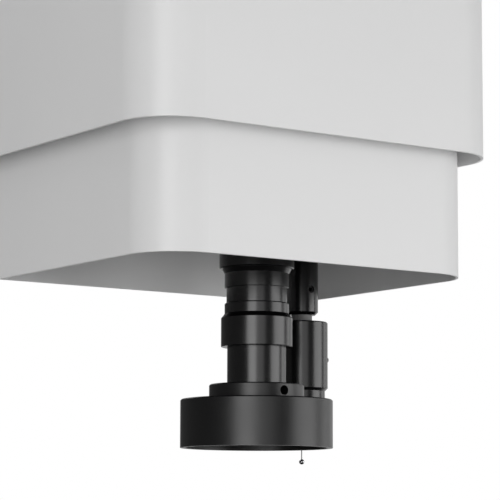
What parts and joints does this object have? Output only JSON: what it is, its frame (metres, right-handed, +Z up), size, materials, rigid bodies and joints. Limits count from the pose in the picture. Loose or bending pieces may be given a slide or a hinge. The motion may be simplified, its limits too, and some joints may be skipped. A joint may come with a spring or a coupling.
{
  "type": "vision measuring machine head",
  "caption": "Z-axis measuring head: telescoping sheet covers over a screw-driven carriage with a zoom lens, ring light, camera and touch probe.",
  "frame": {"origin": "centre of the four mounting bolts, on the column's rear face", "axes": "+Z up along the travel, +Y out of the rear mounting face, +X to the right seen from the front"},
  "size_m": [0.3104, 0.3316, 0.6828],
  "materials": {
    "cover_paint": "pale grey powder coat, satin",
    "black_anodised": "black anodised, satin",
    "bare_aluminium": "milled and clear anodised",
    "ground_steel": "ground",
    "zinc_steel": "zinc plated",
    "casting_grey": "painted casting with ground pads",
    "motor_black": "satin black",
    "black_plastic": "moulded",
    "black_rubber": "moulded",
    "spider_red": "polyurethane",
    "coated_glass": "coated",
    "camera_grey": "satin",
    "probe_steel": "turned",
    "indicator_smoke": "smoked lens, unlit",
    "board_black": "black solder mask",
    "emitter_white": "unlit white light emitters",
    "ball_chrome": "polished"
  },
  "bodies": {
    "column": {"column_casting": "casting_grey", "guide_rails": "ground_steel", "cable_grommet": "black_rubber", "screw_support_lower": "bare_aluminium", "screw_support_upper": "bare_aluminium", "screw_bearings": "ground_steel", "motor_bracket": "bare_aluminium", "z_motor": "motor_black", "motor_brake": "motor_black", "end_buffers": "black_rubber", "linear_scale": "bare_aluminium", "limit_sensors": "black_plastic", "outer_cover": "cover_paint", "outer_top_cover": "cover_paint", "cover_brackets": "zinc_steel", "cover_screws": "zinc_steel"},
    "screw": {"ball_screw": "ground_steel", "screw_locknut": "zinc_steel", "coupling_hubs": "bare_aluminium", "coupling_spider": "spider_red", "motor_shaft": "ground_steel"},
    "carriage": {"guide_blocks": "ground_steel", "block_end_caps": "black_plastic", "carriage_plate": "bare_aluminium", "head_plate": "bare_aluminium", "ball_nut": "ground_steel", "nut_bracket": "bare_aluminium", "scale_reader": "black_plastic", "limit_flag": "zinc_steel", "inner_cover": "cover_paint", "inner_back_panel": "cover_paint", "dust_plate": "cover_paint", "lens_bracket": "black_anodised", "lens_clamp_cap": "black_anodised", "lens_clamp_screws": "zinc_steel", "lens_upper_tube": "black_anodised", "lens_barrel": "black_anodised", "lens_lower_tube": "black_anodised", "lens_glasses": "coated_glass", "coax_light": "black_anodised", "camera_adapter": "black_anodised", "camera": "camera_grey", "probe_bracket": "black_anodised", "probe_holder": "black_anodised", "probe_set_screw": "zinc_steel", "probe_shank": "probe_steel", "probe_body": "black_anodised", "probe_indicator": "indicator_smoke", "probe_nose": "black_anodised"},
    "zoom_ring": {"zoom_ring": "black_anodised"},
    "zoom_cell": {"zoom_cell": "black_anodised"},
    "ring_light": {"ring_light_housing": "black_anodised", "ring_light_collar": "black_anodised", "ring_light_board": "board_black", "ring_light_emitters": "emitter_white", "ring_light_screw": "zinc_steel"},
    "probe_plunger": {"probe_plunger": "ground_steel"},
    "gimbal": {"gimbal_ring": "ground_steel"},
    "stylus": {"stylus": "ground_steel", "stylus_ball": "ball_chrome"}
  },
  "joints": [
    {"name": "z_slide", "type": "slide", "parent": "column", "child": "carriage", "axis": [0, 0, 1], "range_m": [-0.12, 0.08]},
    {"name": "screw_spin", "type": "hinge", "parent": "column", "child": "screw", "pos_m": [0, -0.05, 0], "axis": [0, 0, 1], "continuous": true},
    {"name": "zoom_turn", "type": "hinge", "parent": "carriage", "child": "zoom_ring", "pos_m": [0, -0.2314, -0.36], "axis": [0, 0, 1], "range_deg": [-75, 75]},
    {"name": "zoom_cell_slide", "type": "slide", "parent": "carriage", "child": "zoom_cell", "axis": [0, 0, 1], "range_m": [-0.008, 0.008]},
    {"name": "ring_light_slide", "type": "slide", "parent": "carriage", "child": "ring_light", "axis": [0, 0, 1], "range_m": [-0.008, 0.024]},
    {"name": "probe_lift", "type": "slide", "parent": "carriage", "child": "probe_plunger", "axis": [0, 0, 1], "range_m": [0, 0.004], "stiffness_N_per_m": 150, "springref_m": -0.006},
    {"name": "stylus_tilt_x", "type": "hinge", "parent": "probe_plunger", "child": "gimbal", "pos_m": [0.0698, -0.1914, -0.4114], "axis": [1, 0, 0], "range_deg": [-10, 10], "stiffness_Nm_per_rad": 0.02},
    {"name": "stylus_tilt_y", "type": "hinge", "parent": "gimbal", "child": "stylus", "pos_m": [0.0698, -0.1914, -0.4114], "axis": [0, 1, 0], "range_deg": [-10, 10], "stiffness_Nm_per_rad": 0.02}
  ],
  "couplings": [
    {"joint": "screw_spin", "follows": "z_slide", "rad_per_m": -628.32},
    {"joint": "zoom_cell_slide", "follows": "zoom_turn", "m_per_rad": 0.0061}
  ]
}
